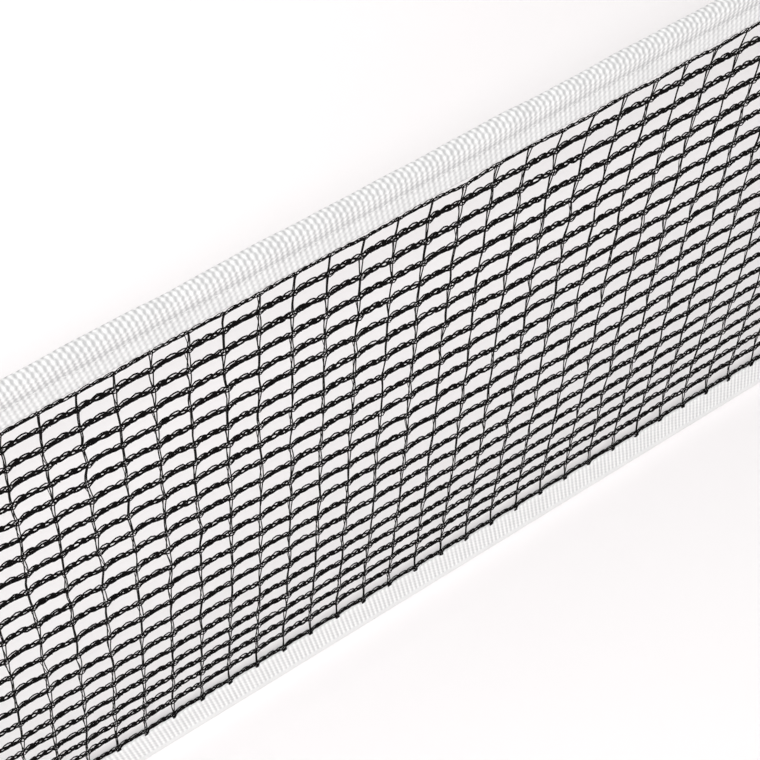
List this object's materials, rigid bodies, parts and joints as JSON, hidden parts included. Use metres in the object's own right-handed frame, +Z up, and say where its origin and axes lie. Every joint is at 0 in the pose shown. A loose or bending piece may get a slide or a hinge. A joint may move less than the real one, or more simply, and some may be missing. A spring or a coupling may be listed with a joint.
{
  "type": "table tennis net",
  "caption": "Table tennis net: black knitted netting between folded white tapes, hung on a cord in the top hem, with a post pocket at each end.",
  "frame": {"origin": "on the playing surface, below the middle of the net: the middle of the bottom of its bounding box", "axes": "+X along the net towards its right-hand end seen from the front, +Y across the net from front to back, +Z up"},
  "size_m": [1.892, 0.0104, 0.1525],
  "materials": {
    "netting": "black knitted polyester filament, slightly glossy",
    "tape": "white woven polyester tape with slanted ribs, matte",
    "sewing_thread": "white sewing thread, soft sheen",
    "pocket_cloth": "black woven cloth, matte",
    "cord": "off-white braided cord, matte",
    "ferrule_metal": "plain aluminium, crimped"
  },
  "bodies": {
    "net": {"chain_row_01": "netting", "chain_row_02": "netting", "chain_row_03": "netting", "chain_row_04": "netting", "chain_row_05": "netting", "chain_row_06": "netting", "chain_row_07": "netting", "chain_row_08": "netting", "chain_row_09": "netting", "chain_row_10": "netting", "chain_row_11": "netting", "chain_row_12": "netting", "chain_row_13": "netting", "chain_row_14": "netting", "chain_row_15": "netting", "chain_row_16": "netting", "chain_row_17": "netting", "chain_row_18": "netting", "chain_row_19": "netting", "chain_row_20": "netting", "chain_row_21": "netting", "chain_row_22": "netting", "chain_row_23": "netting", "cross_threads": "netting", "top_tape": "tape", "bottom_tape": "tape", "top_stitching_front": "sewing_thread", "top_stitching_back": "sewing_thread", "bottom_stitching_front": "sewing_thread", "bottom_stitching_back": "sewing_thread", "left_pocket_stitching_front": "sewing_thread", "left_pocket_stitching_back": "sewing_thread", "right_pocket_stitching_front": "sewing_thread", "right_pocket_stitching_back": "sewing_thread", "left_post_pocket": "pocket_cloth", "right_post_pocket": "pocket_cloth"},
    "cord": {"suspension_cord": "cord", "left_ferrule": "ferrule_metal", "right_ferrule": "ferrule_metal"}
  },
  "joints": [
    {"name": "cord_draw", "type": "slide", "parent": "net", "child": "cord", "axis": [1, 0, 0], "range_m": [-0.015, 0.015]}
  ]
}
